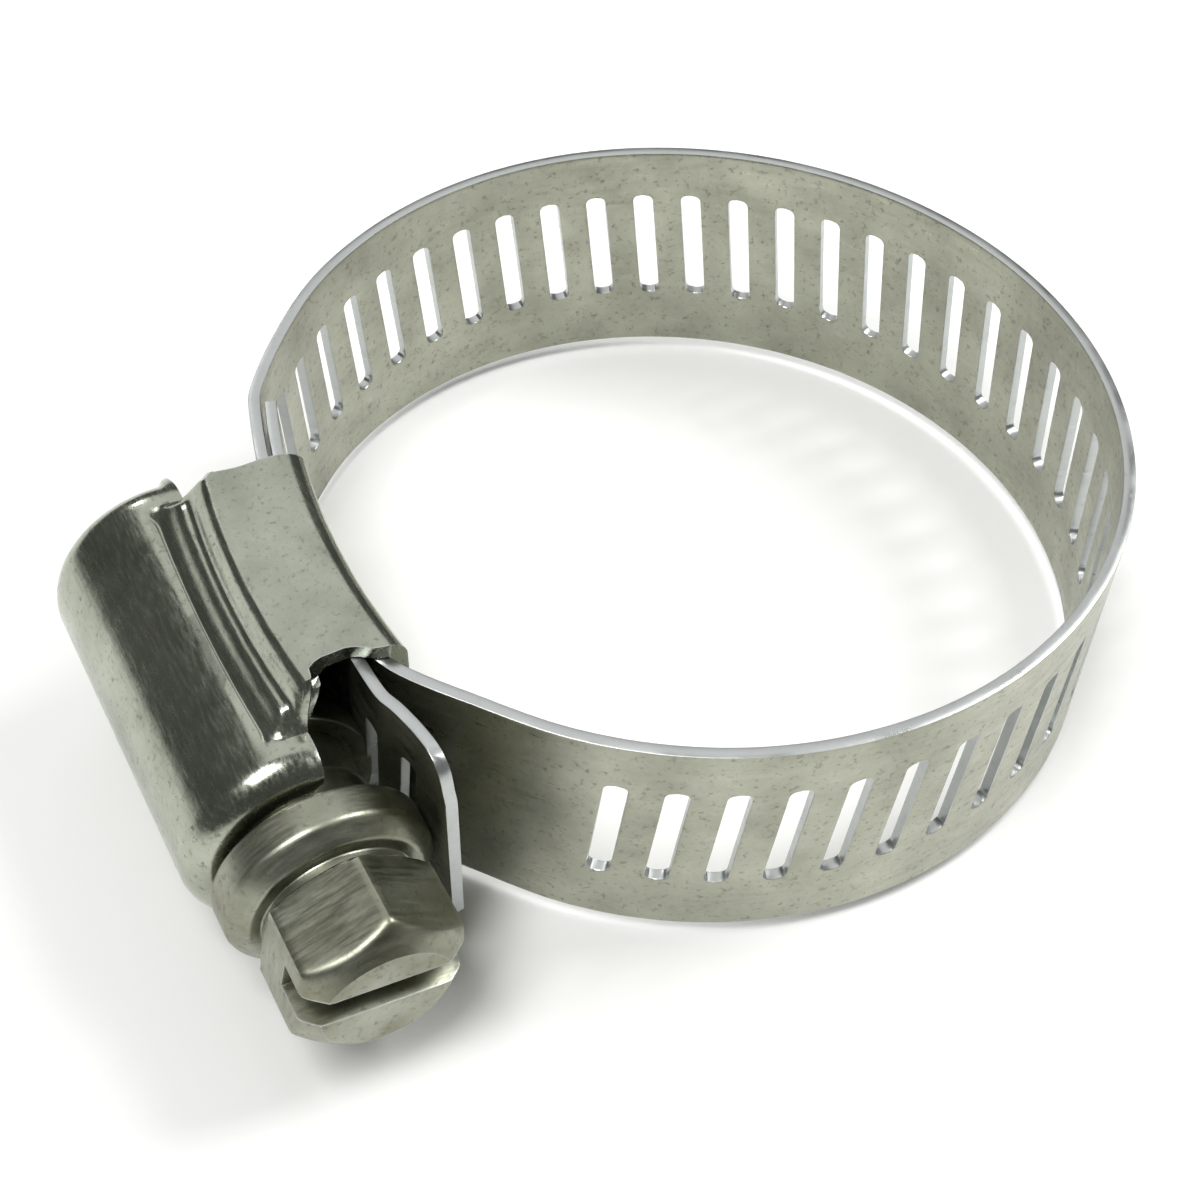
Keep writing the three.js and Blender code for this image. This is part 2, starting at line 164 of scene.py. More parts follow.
SHEET = 0.8
SCREW_AXIS = -26.04  # along X
SADDLE_CENTRE = (18.46, -2.0)  # of the arc on which the band runs through the housing
SADDLE_RADIUS = 40.0
BARREL_RADIUS = 5.9
HEAD_END, TIP_END = -10.7, 9.4  # of the barrel, along Y
DRAWN_IN = 1.6
HEAD_HOLE, TIP_HOLE = 3.95, 3.35
LEG_HEAD, LEG_TIP = -7.5, 6.0
LEG_OUTSIDE = 8.05
BEND = 1.1
WRAP_OUTSIDE = 6.52  # from the screw's axis, at the saddle's middle
BACK_COLUMNS = 24  # faces round half of the barrel, up to the bead


def spline(points, counts):
    """A smooth line through points, with a count of samples for each stretch (centripetal Catmull-Rom)."""
    points = np.array(points, float)
    ends = [2 * points[0] - points[1], *points, 2 * points[-1] - points[-2]]
    samples = [points[:1]]
    for i, count in enumerate(counts):
        p0, p1, p2, p3 = ends[i : i + 4]
        d0, d1, d2 = (max(np.linalg.norm(b - a), 1e-9) ** 0.5 for a, b in ((p0, p1), (p1, p2), (p2, p3)))
        start = ((p1 - p0) / d0 - (p2 - p0) / (d0 + d1) + (p2 - p1) / d1) * d1
        end = ((p2 - p1) / d1 - (p3 - p1) / (d1 + d2) + (p3 - p2) / d2) * d1
        t = (np.arange(1, count + 1) / count)[:, None]
        samples.append(
            p1 + t * start + t**2 * (3 * (p2 - p1) - 2 * start - end) + t**3 * (2 * (p1 - p2) + start + end)
        )
    return np.concatenate(samples)


def smooth(value, low, high):
    t = np.clip((value - low) / (high - low), 0, 1)
    return t * t * (3 - 2 * t)


def half_section(radius, crest, side, bend, wrap):
    """Half of the housing's section seen along the screw, from the barrel's back round to the wrap's middle.
    Returns its points, and how much each follows the saddle's arc."""
    arc = np.radians(np.linspace(180, 98, BACK_COLUMNS + 1))
    back = np.c_[radius * np.cos(arc), radius * np.sin(arc)]
    bead = spline([back[-1], *crest, (crest[-1][0] + 0.55, side)], [7] * (len(crest) + 1))[1:]
    flat = np.c_[np.linspace(bead[-1][0], wrap - bend, 10)[1:], np.full(9, side)]
    turn = np.radians(np.linspace(90, 0, 9))[1:]
    corner = np.c_[wrap - bend + bend * np.cos(turn), side - bend + bend * np.sin(turn)]
    under = np.c_[np.full(8, wrap), np.linspace(side - bend, 0, 9)[1:]]
    section = np.concatenate([back, bead, flat, corner, under])
    start = len(back)
    follow = np.zeros(len(section))
    follow[start : start + len(bead)] = np.linspace(0.35, 1, len(bead))
    follow[start + len(bead) :] = 1
    return section, follow, start + len(bead)


OUTER_BEAD = [(-0.72, 5.78), (-0.32, 6.1), (0.22, 6.72), (0.66, 6.86), (1.0, 7.42), (1.42, 7.98)]
INNER_BEAD = [(-0.62, 5.02), (-0.2, 5.1), (0.4, 5.4), (0.95, 5.95), (1.45, 6.65), (1.8, 7.17)]
outer = half_section(BARREL_RADIUS, OUTER_BEAD, LEG_OUTSIDE, BEND, WRAP_OUTSIDE)
inner = half_section(
    BARREL_RADIUS - SHEET, INNER_BEAD, LEG_OUTSIDE - SHEET, BEND - SHEET, WRAP_OUTSIDE - SHEET
)
leg_root = outer[2] - 1  # the last column that the barrel's ends share with the legs


def barrel_row(share, outside):
    """Radius and distance along Y of the barrel's wall, from the head's hole at -1 to the tip's at 2.
    The legs are between 0 and 1."""
    turn = DRAWN_IN if outside else DRAWN_IN - SHEET
    radius = BARREL_RADIUS if outside else BARREL_RADIUS - SHEET
    for sign, end, hole, leg in ((-1, HEAD_END, HEAD_HOLE, LEG_HEAD), (1, TIP_END, TIP_HOLE, LEG_TIP)):
        beyond = -share if sign < 0 else share - 1
        if beyond <= 0:
            continue
        edge = end if outside else end - sign * SHEET
        lengths = [abs(edge - sign * turn - leg), turn * math.pi / 2, radius - turn - hole]
        along = beyond * sum(lengths)
        if along < lengths[0]:
            return radius, leg + sign * along
        if along < lengths[0] + lengths[1]:
            angle = (along - lengths[0]) / turn
            return radius - turn + turn * math.cos(angle), edge - sign * turn + sign * turn * math.sin(angle)
        return radius - turn - (along - lengths[0] - lengths[1]), edge
    return radius, LEG_HEAD + (LEG_TIP - LEG_HEAD) * share


def housing_grid(section, follow, outside):
    """Rows of points over one face of the sheet, from edge to edge of the blank."""
    columns = np.concatenate([section[::-1] * [1, -1], section[1:]])  # wrap, leg, barrel, leg, wrap
    follow = np.concatenate([follow[::-1], follow[1:]])
    middle = len(section) - 1
    from_back = np.abs(np.arange(len(columns)) - middle)
    rows = []
    for share in ROW_SHARES:
        radius, y = barrel_row(share, outside)
        full = BARREL_RADIUS if outside else BARREL_RADIUS - SHEET
        on_leg = 1 - smooth(max(-share, share - 1), 0.0, 0.24)
        plain = np.arctan2(columns[:, 1], columns[:, 0])
        plain = np.sign(plain) * np.maximum(np.abs(plain), math.radians(77))
        corner = smooth(from_back, leg_root - 22, leg_root)  # the blank's corners stay out of the draw
        held = radius + (full - radius) * 0.4 * corner
        beyond = max(0.0, share - 1)
        arc = np.c_[held * np.cos(plain), held * np.sin(plain)]
        between_ends = 1 if 0 <= share <= 1 else 0
        across = arc + (columns - arc) * np.where(from_back[:, None] > BACK_COLUMNS, on_leg, between_ends)
        along = np.full(len(columns), y) + corner * 0.7 * smooth(beyond, 0.5, 1.0)
        # The legs' cut edges: the head's is cut back, then steps out before the wrap; the tip's is rounder.
        past_root = from_back - leg_root
        head_edge = 0.9 * smooth(past_root, -3, 2) - 0.75 * smooth(past_root, 5, 9)
        tip_edge = 0.45 * (1 - smooth(past_root, -4, 4)) - 0.3 * smooth(past_root, 6, 12)
        in_legs = smooth(from_back, leg_root - 6, leg_root)
        if 0 <= share <= 1:
            along += in_legs * (head_edge * (1 - share) ** 3 + tip_edge * share**3)
        else:
            along += in_legs * (head_edge if share < 0 else tip_edge) * on_leg
        rise = along - SADDLE_CENTRE[1]
        saddle = SADDLE_RADIUS - np.sqrt(SADDLE_RADIUS**2 - np.clip(rise, -12, 12) ** 2)
        shift = follow * saddle * on_leg
        rows.append(np.c_[SCREW_AXIS + across[:, 0] + shift, along, across[:, 1]])
    return rows, from_back


ROW_SHARES = [*np.linspace(-1, 0, 22), *np.linspace(0, 1, 33)[1:], *np.linspace(1, 2, 22)[1:]]
outer_rows, from_back = housing_grid(outer[0], outer[1], True)
inner_rows, _ = housing_grid(inner[0], inner[1], False)
columns = len(from_back)
points = np.concatenate([*outer_rows, *inner_rows])
inner_start = len(outer_rows) * columns


def on_blank(row, column):
    """Whether the blank has metal between a row and the next, and a column and the next."""
    leg = min(from_back[column], from_back[column + 1]) >= leg_root
    middle = (ROW_SHARES[row] + ROW_SHARES[row + 1]) / 2
    return 0 < middle < 1 or not leg


faces = []
for r in range(len(ROW_SHARES) - 1):
    for c in range(columns - 1):
        if not on_blank(r, c):
            continue
        a, b, d, e = r * columns + c, r * columns + c + 1, (r + 1) * columns + c + 1, (r + 1) * columns + c
        faces.append((a, e, d, b))
        faces.append((a + inner_start, b + inner_start, d + inner_start, e + inner_start))
        for p, q, there in (
            (a, b, r > 0 and on_blank(r - 1, c)),
            (d, e, r < len(ROW_SHARES) - 2 and on_blank(r + 1, c)),
            (e, a, c > 0 and on_blank(r, c - 1)),
            (b, d, c < columns - 2 and on_blank(r, c + 1)),
        ):
            at_seam = {p, q} == {e, a} and c == 0 or {p, q} == {b, d} and c == columns - 2
            if not there and not at_seam:
                faces.append((p, q, q + inner_start, p + inner_start))


def joined(mesh, distance=0.004):
    """Merges a mesh's doubles and turns its faces outwards."""
    work = bmesh.new()
    work.from_mesh(mesh)
    bmesh.ops.remove_doubles(work, verts=work.verts, dist=distance * MM)
    bmesh.ops.dissolve_degenerate(work, edges=work.edges, dist=distance * MM / 2)
    bmesh.ops.recalc_face_normals(work, faces=work.faces)
    loose = [v for v in work.verts if not v.link_faces]
    bmesh.ops.delete(work, geom=loose, context="VERTS")
    work.to_mesh(mesh)
    work.free()
    mesh.shade_smooth()
    mesh.set_sharp_from_angle(angle=math.radians(24))
    return mesh


def finished(piece, name, material):
    """The piece's mesh as its modifiers leave it, as a new plain object, with the working one removed."""
    evaluated = piece.evaluated_get(bpy.context.evaluated_depsgraph_get())
    mesh = bpy.data.meshes.new_from_object(evaluated)
    mesh.materials.clear()
    mesh.materials.append(material)
    bpy.data.objects.remove(piece)
    return new_object(name, joined(mesh, 0.001))


def round_edges(piece, width, segments=2, angle=50):
    edge = piece.modifiers.new("rounded", "BEVEL")
    edge.width, edge.segments = width * MM, segments
    edge.limit_method, edge.angle_limit = "ANGLE", math.radians(angle)
    edge.harden_normals = False


def stainless(name, light, dark, roughness, stretch, grain, grain_depth, cut_walls=None):
    """Bare stainless steel: cloudy from handling, finely scratched one way, and polished along the edges,
    or on the walls that the attribute cut_walls marks."""
    made = bpy.data.materials.new(name)
    made.use_nodes = True
    tree = made.node_tree
    surface = tree.nodes["Principled BSDF"]
    surface.inputs["Metallic"].default_value = 1.0
    place = add_node(tree, "ShaderNodeTexCoord").outputs["Object"]
    along = add_node(tree, "ShaderNodeMapping", {"Vector": place, "Scale": stretch}).outputs["Vector"]
    cloud = add_node(
        tree,
        "ShaderNodeTexNoise",
        {"Vector": place, "Scale": 1 / (4.0 * MM), "Detail": 5.0, "Roughness": 0.62},
    )
    lines = add_node(
        tree,
        "ShaderNodeTexNoise",
        {"Vector": along, "Scale": 1 / (grain * MM), "Detail": 3.0, "Roughness": 0.6},
    )
    specks = add_node(
        tree,
        "ShaderNodeTexNoise",
        {"Vector": place, "Scale": 1 / (0.35 * MM), "Detail": 3.0, "Roughness": 0.7},
    )
    if cut_walls:
        worn = add_node(tree, "ShaderNodeAttribute", attribute_name=cut_walls).outputs["Fac"]
    else:
        rounded = add_node(tree, "ShaderNodeBevel", {"Radius": 0.16 * MM}, samples=6).outputs[0]
        straight = add_node(tree, "ShaderNodeNewGeometry").outputs["Normal"]
        level = add_node(
            tree, "ShaderNodeVectorMath", {0: rounded, 1: straight}, operation="DOT_PRODUCT"
        ).outputs["Value"]
        worn = add_node(tree, "ShaderNodeMapRange", {0: level, 1: 0.99, 2: 0.86, 3: 0.0, 4: 0.75}).outputs[0]
    tone = add_node(
        tree, "ShaderNodeMapRange", {0: cloud.outputs[0], 1: 0.35, 2: 0.68, 3: 0.0, 4: 1.0}
    ).outputs[0]
    marks = add_node(
        tree, "ShaderNodeMapRange", {0: specks.outputs[0], 1: 0.56, 2: 0.74, 3: 0.0, 4: 0.55}
    ).outputs[0]
    base = add_node(
        tree, "ShaderNodeMix", {0: tone, 6: linear(dark), 7: linear(light)}, data_type="RGBA"
    ).outputs[2]
    grimed = add_node(
        tree, "ShaderNodeMix", {0: marks, 6: base, 7: linear("4b4a3e")}, data_type="RGBA"
    ).outputs[2]
    colour = add_node(
        tree, "ShaderNodeMix", {0: worn, 6: grimed, 7: linear("c9cdd0")}, data_type="RGBA"
    ).outputs[2]
    tree.links.new(colour, surface.inputs["Base Color"])
    spread = add_node(
        tree,
        "ShaderNodeMapRange",
        {0: lines.outputs[0], 1: 0.3, 2: 0.7, 3: roughness - 0.07, 4: roughness + 0.1},
    ).outputs[0]
    rough = add_node(
        tree, "ShaderNodeMath", {0: marks, 1: 0.22, 2: spread}, operation="MULTIPLY_ADD"
    ).outputs[0]
    tree.links.new(rough, surface.inputs["Roughness"])
    scratch = add_node(
        tree, "ShaderNodeBump", {"Height": lines.outputs[0], "Strength": grain_depth, "Distance": 0.02 * MM}
    ).outputs[0]
    dents = add_node(
        tree,
        "ShaderNodeBump",
        {"Height": cloud.outputs[0], "Strength": 0.12, "Distance": 0.25 * MM, "Normal": scratch},
    ).outputs[0]
    tree.links.new(dents, surface.inputs["Normal"])
    return made


# Pressed stainless sheet: the dies burnish it, so it mirrors the room darkly, with soft white streaks.
pressed_stainless = stainless("pressed_stainless", "b2b5a8", "9a9e90", 0.2, (1, 0.15, 1), 0.16, 0.1)
blank = new_object("housing_blank", joined(mesh_from("housing_blank", points, faces)))
round_edges(blank, 0.14)
housing = finished(blank, "housing_shell", pressed_stainless)
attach(housing, "housing")
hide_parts("housing")


# ---- Worm screw ----
# One piece of stainless, cold-formed and then turned: a rolled worm thread in the barrel, a bevelled collar,
# and a 7.94 mm hexagon with a driver slot milled across its end. It turns in the barrel's drawn ends.

PITCH = 2.822  # 9 slots to the inch, which is also the thread's lead
THREAD_START, THREAD_TURNS = -8.6, 5.7
THREAD_CREST, THREAD_ROOT = 4.65, 3.7
COLLAR_FRONT, HEX_BACK, HEX_FRONT = -13.9, -14.5, -19.5
HEX_FLATS = 7.94
FIRST_FLAT = 48  # degrees from +X towards +Z
SLOT_WIDE, SLOT_DEEP, SLOT_UP, SLOT_TURN = 1.6, 2.6, 0.5, 10
TAIL_FROM_AXIS = 4.5
SLOT_SLANT = PITCH / (2 * math.pi * TAIL_FROM_AXIS)  # the thread's own slope where it meets the band
SLOT_UPWARDS = 0.4  # the slots' middle above the band's


def turned_body(name, profile, sides, radius_at=None):
    """A closed body of rings about the screw's axis. radius_at gives each ring's radius for an angle."""
    angles = np.linspace(0, 2 * np.pi, sides, endpoint=False)
    points, faces = [], []
    for radius, y in profile:
        r = np.full(sides, radius) if radius_at is None else radius_at(angles, radius)
        points += list(np.c_[SCREW_AXIS + r * np.cos(angles), np.full(sides, y), r * np.sin(angles)])
    for ring in range(len(profile) - 1):
        for i in range(sides):
            a, b = ring * sides + i, ring * sides + (i + 1) % sides
            faces.append((a, b, b + sides, a + sides))
    faces.append(range(sides))
    faces.append(range((len(profile) - 1) * sides, len(profile) * sides))
    return new_object(name, joined(mesh_from(name, points, faces)))


def rounded_corner(corner, radius, before, after, steps=5):
    """Points round a profile's corner, between the two profile points next to it."""
    corner, before, after = (np.array(p, float) for p in (corner, before, after))
    start = corner + radius * (before - corner) / np.linalg.norm(before - corner)
    end = corner + radius * (after - corner) / np.linalg.norm(after - corner)
    t = np.linspace(0, 1, steps)[:, None]
    return [tuple(p) for p in (1 - t) ** 2 * start + 2 * t * (1 - t) * corner + t**2 * end]


# The turned body from inside the hexagon to the pilot at the tip: radius, distance along Y, corner rounding.
SHAFT = [
    (0.4, -17.0, 0), (3.7, -17.0, 0), (3.7, COLLAR_FRONT, 0.12), (4.35, COLLAR_FRONT, 0.15),
    (5.2, -13.05, 0.22), (5.2, -11.3, 0.3), (3.6, -11.3, 0.1), (3.6, -9.0, 0), (3.7, -9.0, 0),
    (3.7, 7.49, 0), (3.0, 7.9, 0), (3.0, 9.6, 0.4), (0.4, 9.6, 0),
]
shaft_profile = []
for i, (radius, y, rounding) in enumerate(SHAFT):
    if rounding:
        shaft_profile += rounded_corner((radius, y), rounding, SHAFT[i - 1][:2], SHAFT[i + 1][:2])
    else:
        shaft_profile.append((radius, y))
shaft = turned_body("shaft", shaft_profile, 96)


def softer_least(values, softness):
    """The least of several values, rounded off where two of them meet."""
    return -softness * np.log(sum(np.exp(-v / softness) for v in values))


def hexagon_radius(angles, cone):
    """The hexagon's radius at each angle, cut off by a cone of this radius, with worn edges."""
    flats = []
    for i in range(6):
        turn = np.cos(angles - math.radians(FIRST_FLAT + 60 * i))
        flats.append(np.where(turn > 0.3, HEX_FLATS / 2 / np.maximum(turn, 0.3), 20))
    return softer_least([softer_least(flats, 0.09), cone], 0.13)


cone_rows = [(3.1 + 1.15 * t / 0.9, HEX_FRONT + t) for t in np.linspace(0, 1.6, 17)]
cone_rows = [(2.9, HEX_FRONT)] + [(r + 0.08, y + 0.03) for r, y in cone_rows]
hex_rows = cone_rows + [(12, y) for y in np.linspace(HEX_FRONT + 1.8, HEX_BACK - 0.3, 12)]
hex_rows += [(4.35, HEX_BACK - 0.12), (4.1, HEX_BACK)]
hexagon = turned_body("hexagon", [(0.5, HEX_FRONT), *hex_rows, (0.5, HEX_BACK)], 180, hexagon_radius)


def inputs_by_name(tree, modifier, **values):
    """Sets a Geometry Nodes modifier's inputs, found by their names, through their sockets' identifiers."""
    for socket in tree.interface.items_tree:
        if socket.item_type == "SOCKET" and socket.in_out == "INPUT" and socket.name in values:
            modifier[socket.identifier] = values[socket.name]


def new_tree(name, sockets):
    """A Geometry Nodes tree with its named inputs: returns the tree, its inputs and its output node."""
    tree = bpy.data.node_groups.new(name, "GeometryNodeTree")
    tree.is_modifier = True
    tree.interface.new_socket("Geometry", in_out="INPUT", socket_type="NodeSocketGeometry")
    for title, kind in sockets:
        tree.interface.new_socket(title, in_out="INPUT", socket_type="NodeSocket" + kind)
    tree.interface.new_socket("Geometry", in_out="OUTPUT", socket_type="NodeSocketGeometry")
    return tree, add_node(tree, "NodeGroupInput").outputs, add_node(tree, "NodeGroupOutput")


# Where the band's slots lie fixes the thread's phase: the slot nearest to the saddle's middle holds a crest.
TAIL_START = (-19.694, 10.306)
tail_start_angle = math.atan2(TAIL_START[1] - SADDLE_CENTRE[1], TAIL_START[0] - SADDLE_CENTRE[0])
meshed_slot = round((math.pi - tail_start_angle) * SADDLE_RADIUS / PITCH - 0.5)
meshed_angle = tail_start_angle + ((meshed_slot + 0.5) * PITCH - SLOT_SLANT * SLOT_UPWARDS) / SADDLE_RADIUS
meshed_y = SADDLE_CENTRE[1] + SADDLE_RADIUS * math.sin(meshed_angle)

thread_tree, size, out = new_tree(
    "worm_thread",
    [("Mean Radius", "Float"), ("Pitch", "Float"), ("Turns", "Float"), ("Crest Width", "Float"),
     ("Foot Width", "Float"), ("Depth", "Float"), ("Start", "Float"), ("Phase", "Float"), ("Axis", "Float"),
     ("Steps Per Turn", "Int"), ("Material", "Material")],
)
rise = add_node(
    thread_tree, "ShaderNodeMath", {0: size["Pitch"], 1: size["Turns"]}, operation="MULTIPLY"
).outputs[0]
helix = add_node(
    thread_tree,
    "GeometryNodeCurveSpiral",
    {"Resolution": size["Steps Per Turn"], "Rotations": size["Turns"], "Start Radius": size["Mean Radius"],
     "End Radius": size["Mean Radius"], "Height": rise},
).outputs[0]
helix = add_node(thread_tree, "GeometryNodeSetCurveNormal", {"Curve": helix}, mode="Z_UP").outputs[0]
tooth = add_node(
    thread_tree,
    "GeometryNodeCurvePrimitiveQuadrilateral",
    {"Bottom Width": size["Foot Width"], "Top Width": size["Crest Width"], "Height": size["Depth"],
     "Offset": 0.0},
    mode="TRAPEZOID",
).outputs[0]
tooth = add_node(
    thread_tree, "GeometryNodeTransform", {"Geometry": tooth, "Rotation": (0, 0, -math.pi / 2)}
).outputs[0]
tooth = add_node(
    thread_tree, "GeometryNodeFilletCurve", {"Curve": tooth, "Count": 2, "Radius": 0.08 * MM}, mode="POLY"
).outputs[0]
share = add_node(thread_tree, "GeometryNodeSplineParameter").outputs["Factor"]
from_end = add_node(thread_tree, "ShaderNodeMath", {0: 1.0, 1: share}, operation="SUBTRACT").outputs[0]
nearest = add_node(thread_tree, "ShaderNodeMath", {0: share, 1: from_end}, operation="MINIMUM").outputs[0]
grown = add_node(
    thread_tree,
    "ShaderNodeMapRange",
    {0: nearest, 1: 0.0, 2: 0.07, 3: 0.25, 4: 1.0},
    interpolation_type="SMOOTHSTEP",
)
swept = add_node(
    thread_tree,
    "GeometryNodeCurveToMesh",
    {"Curve": helix, "Profile Curve": tooth, "Scale": grown.outputs[0], "Fill Caps": True},
).outputs[0]
spun = add_node(thread_tree, "ShaderNodeCombineXYZ", {2: size["Phase"]}).outputs[0]
swept = add_node(thread_tree, "GeometryNodeTransform", {"Geometry": swept, "Rotation": spun}).outputs[0]
where = add_node(thread_tree, "ShaderNodeCombineXYZ", {0: size["Axis"], 1: size["Start"]}).outputs[0]
swept = add_node(
    thread_tree,
    "GeometryNodeTransform",
    {"Geometry": swept, "Translation": where, "Rotation": (-math.pi / 2, 0, 0)},
).outputs[0]
swept = add_node(thread_tree, "GeometryNodeRealizeInstances", {"Geometry": swept}).outputs[0]
swept = add_node(
    thread_tree, "GeometryNodeSetMaterial", {"Geometry": swept, "Material": size["Material"]}
).outputs[0]
thread_tree.links.new(swept, out.inputs[0])

# Cold-formed and turned stainless: duller and greyer than the sheet, with fine turning marks round the axis.
turned_stainless = stainless("turned_stainless", "a3a698", "807f6d", 0.36, (0.12, 1, 0.12), 0.22, 0.35)

thread = new_object("worm_thread", bpy.data.meshes.new("worm_thread"))
rolled = thread.modifiers.new("rolled", "NODES")
rolled.node_group = thread_tree
SUNK = 0.4
depth = THREAD_CREST - THREAD_ROOT + SUNK
inputs_by_name(
    thread_tree,
    rolled,
    **{
        "Mean Radius": (THREAD_CREST - depth / 2) * MM, "Pitch": PITCH * MM, "Turns": THREAD_TURNS,
        "Crest Width": 0.6 * MM, "Foot Width": 1.58 * MM, "Depth": depth * MM, "Start": THREAD_START * MM,
        "Phase": -(meshed_y - THREAD_START) / PITCH * 2 * math.pi, "Axis": SCREW_AXIS * MM,
        "Steps Per Turn": 48, "Material": turned_stainless,
    },
)
thread = finished(thread, "worm_thread", turned_stainless)

slot_depths = (HEX_FRONT - 1, HEX_FRONT + SLOT_DEEP)
slot_sides = (SLOT_UP - SLOT_WIDE / 2, SLOT_UP + SLOT_WIDE / 2)
slot_corners = [(x, y, z) for x in (-12, 12) for y in slot_depths for z in slot_sides]
cosine, sine = math.cos(math.radians(SLOT_TURN)), math.sin(math.radians(SLOT_TURN))
slot_corners = [(SCREW_AXIS + x * cosine + z * sine, y, z * cosine - x * sine) for x, y, z in slot_corners]
slot_faces = [(0, 1, 3, 2), (4, 6, 7, 5), (0, 4, 5, 1), (2, 3, 7, 6), (0, 2, 6, 4), (1, 5, 7, 3)]
driver_slot = new_object("driver_slot", joined(mesh_from("driver_slot", slot_corners, slot_faces)))


def boolean(piece, other, operation):
    step = piece.modifiers.new(operation.lower(), "BOOLEAN")
    step.operation, step.solver, step.object = operation, "EXACT", other


boolean(hexagon, driver_slot, "DIFFERENCE")
hexagon = finished(hexagon, "slotted_hexagon", turned_stainless)
round_edges(hexagon, 0.07, 2, 55)
boolean(shaft, driver_slot, "DIFFERENCE")
boolean(shaft, thread, "UNION")
boolean(shaft, hexagon, "UNION")
screw = finished(shaft, "screw", turned_stainless)
for spare in (thread, hexagon, driver_slot):
    bpy.data.objects.remove(spare)
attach(screw, "worm_screw")
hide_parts("worm_screw")


# ---- Band ----
# One strip of stainless, 14.3 by 0.6 mm, slotted through at every pitch by a punch. Its plain end is held in
# the housing under the tail, and the slotted tail runs over it into the thread. Its stretches meet at slots.

BAND_WIDE, BAND_THICK = 14.3, 0.6
SLOT_LONG, BAND_SLOT_WIDE, SLOT_CORNER = 7.45, 1.15, 0.42
RING_LONG_RADIUS, RING_SHORT_RADIUS, RING_TURN = 22.05, 20.85, -45
FIXED_RADIUS = 39.2  # of the inner layer's arc, about the saddle's centre
KINK, TONGUE_ROOT, FIRST_SLOT, RING_SLOTS = 18.774, 4.855, 29.911, 38  # distances along the strip
TAIL_SLOTS = 8


def saddle_point(radius, y):
    return (SADDLE_CENTRE[0] - math.sqrt(radius**2 - (y - SADDLE_CENTRE[1]) ** 2), y)


def ring_point(angle):
    turned = math.radians(angle - RING_TURN)
    radius = 1 / math.hypot(math.cos(turned) / RING_LONG_RADIUS, math.sin(turned) / RING_SHORT_RADIUS)
    return (radius * math.cos(math.radians(angle)), radius * math.sin(math.radians(angle)))


route = [saddle_point(FIXED_RADIUS, y) for y in (10.97, 8, 5, 2, -1, -4, -7.2)]
route += [ring_point(angle) for angle in range(-146, 137, 12)]
route += [saddle_point(SADDLE_RADIUS, y) for y in (11, 8, 5)]
line = spline(route, [60] * (len(route) - 1))
along_line = np.concatenate([[0], np.cumsum(np.linalg.norm(np.diff(line, axis=0), axis=1))])
ring_end = FIRST_SLOT + (RING_SLOTS - 0.5) * PITCH
line = line[along_line < ring_end - 0.8]
# The tail follows the saddle's arc past the thread, stands off it a little, and has a crease near its nose.
beyond = [saddle_point(SADDLE_RADIUS, y) for y in np.arange(TAIL_START[1], -5.6, -0.4)]
stand_off = [(-21.36, -7.6), (-21.24, -9.1)]
crease = [(-21.14, -9.45), (-20.98, -9.85)]
nose_end = [(-20.5, -12.0), (-20.3, -14.9)]
beyond += list(spline([beyond[-1], *stand_off, *crease, *nose_end], [6, 6, 4, 4, 8, 8]))[1:]
line = np.concatenate([line, beyond])
along_line = np.concatenate([[0], np.cumsum(np.linalg.norm(np.diff(line, axis=0), axis=1))])


band_route = bpy.data.curves.new("band_route", "CURVE")
band_route.dimensions = "3D"
poly = band_route.splines.new("POLY")
poly.points.add(len(line) - 1)
poly.points.foreach_set("co", (np.c_[line * MM, np.zeros(len(line)), np.ones(len(line))]).ravel())
band_route = new_object("band_route", band_route)

band_tree, size, out = new_tree(
    "strip_on_route",
    [("Count", "Int"), ("Pitch", "Float"), ("First", "Float"), ("Route", "Object"), ("Material", "Material")],
)
start_at = add_node(band_tree, "ShaderNodeCombineXYZ", {0: size["First"]}).outputs[0]
step_by = add_node(band_tree, "ShaderNodeCombineXYZ", {0: size["Pitch"]}).outputs[0]
places = add_node(
    band_tree,
    "GeometryNodeMeshLine",
    {"Count": size["Count"], "Start Location": start_at, "Offset": step_by},
    mode="OFFSET",
).outputs[0]
strip = add_node(
    band_tree, "GeometryNodeInstanceOnPoints", {"Points": places, "Instance": size["Geometry"]}
).outputs[0]
strip = add_node(band_tree, "GeometryNodeRealizeInstances", {"Geometry": strip}).outputs[0]
strip = add_node(
    band_tree, "GeometryNodeMergeByDistance", {"Geometry": strip, "Distance": 0.002 * MM}
).outputs[0]
flat = add_node(band_tree, "GeometryNodeInputPosition").outputs[0]
flat = add_node(band_tree, "ShaderNodeSeparateXYZ", {0: flat}).outputs
curve = add_node(
    band_tree, "GeometryNodeObjectInfo", {"Object": size["Route"]}, transform_space="ORIGINAL"
).outputs["Geometry"]
on_route = add_node(
    band_tree, "GeometryNodeSampleCurve", {"Curves": curve, "Length": flat[0]}, mode="LENGTH"
).outputs
outward = add_node(
    band_tree, "ShaderNodeVectorMath", {0: on_route["Tangent"], 1: (0, 0, 1)}, operation="CROSS_PRODUCT"
).outputs[0]
outward = add_node(band_tree, "ShaderNodeVectorMath", {0: outward}, operation="NORMALIZE").outputs[0]
lifted = add_node(
    band_tree,
    "ShaderNodeVectorMath",
    {0: outward, 1: flat[1], 2: on_route["Position"]},
    operation="MULTIPLY_ADD",
)
across = add_node(band_tree, "ShaderNodeCombineXYZ", {2: flat[2]}).outputs[0]
bent = add_node(
    band_tree, "ShaderNodeVectorMath", {0: lifted.outputs[0], 1: across}, operation="ADD"
).outputs[0]
strip = add_node(band_tree, "GeometryNodeSetPosition", {"Geometry": strip, "Position": bent}).outputs[0]
strip = add_node(band_tree, "GeometryNodeRealizeInstances", {"Geometry": strip}).outputs[0]
